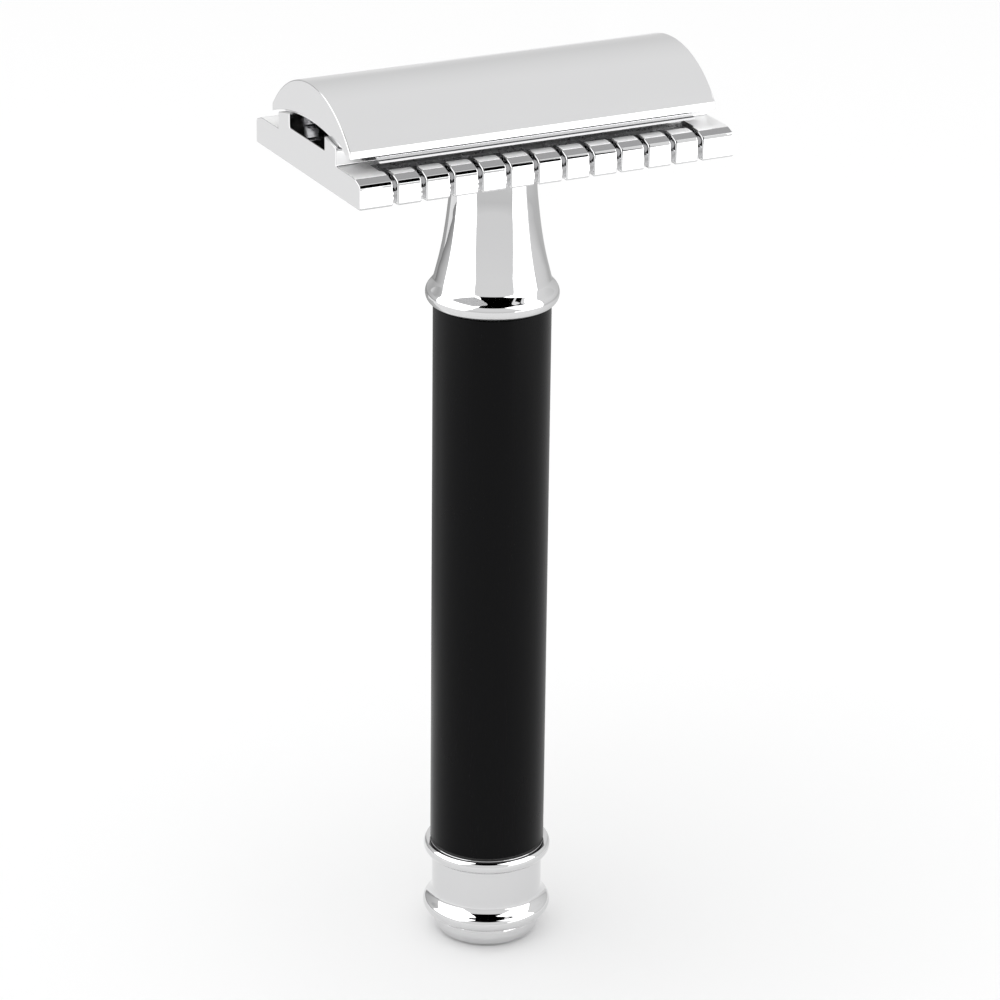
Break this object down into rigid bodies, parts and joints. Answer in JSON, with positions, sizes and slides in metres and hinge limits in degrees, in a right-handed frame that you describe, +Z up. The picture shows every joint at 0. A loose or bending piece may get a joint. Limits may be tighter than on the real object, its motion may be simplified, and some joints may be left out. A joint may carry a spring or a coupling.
{
  "type": "safety razor",
  "caption": "Three-piece double-edge safety razor: domed cap over a clamped blade, slotted base plate, and a black grip between turned chrome fittings.",
  "frame": {"origin": "centre of the foot's flat underside, on the handle's axis, where the razor stands", "axes": "+Z up the handle to the cap, X along the head and the blade's edges, Y across the head"},
  "size_m": [0.044, 0.0264, 0.104],
  "materials": {
    "chrome": "mirror-polished chrome plate",
    "black_resin": "polished black resin",
    "bolt_steel": "zinc-plated steel",
    "stud_steel": "plated steel thread",
    "blade_steel": "rolled stainless strip with honed edges",
    "brass": "turned brass",
    "seal_rubber": "black rubber"
  },
  "bodies": {
    "handle": {"foot_plug": "chrome", "lower_ferrule": "chrome", "tie_bolt": "bolt_steel", "bolt_spring_washer": "bolt_steel", "handle_core": "brass", "lower_seal_washer": "seal_rubber", "upper_seal_washer": "seal_rubber", "grip_sleeve": "black_resin", "neck": "chrome", "neck_thread_bush": "brass"},
    "head_base": {"base_plate": "chrome"},
    "blade_body": {"blade": "blade_steel"},
    "cap_assembly": {"cap": "chrome", "cap_stud": "stud_steel", "cap_locating_pins": "chrome"}
  },
  "joints": [
    {"name": "head_unscrew", "type": "hinge", "parent": "handle", "child": "head_base", "pos_m": [0, 0, 0.094], "axis": [0, 0, 1], "range_deg": [0, 2880]},
    {"name": "cap_lift", "type": "slide", "parent": "head_base", "child": "cap_assembly", "axis": [0, 0, 1], "range_m": [0, 0.00641]},
    {"name": "blade_lift", "type": "slide", "parent": "head_base", "child": "blade_body", "axis": [0, 0, 1], "range_m": [0, 0.00321]}
  ],
  "couplings": [
    {"joint": "cap_lift", "follows": "head_unscrew", "m_per_rad": 0.00012732},
    {"joint": "blade_lift", "follows": "head_unscrew", "m_per_rad": 0.000063662}
  ]
}
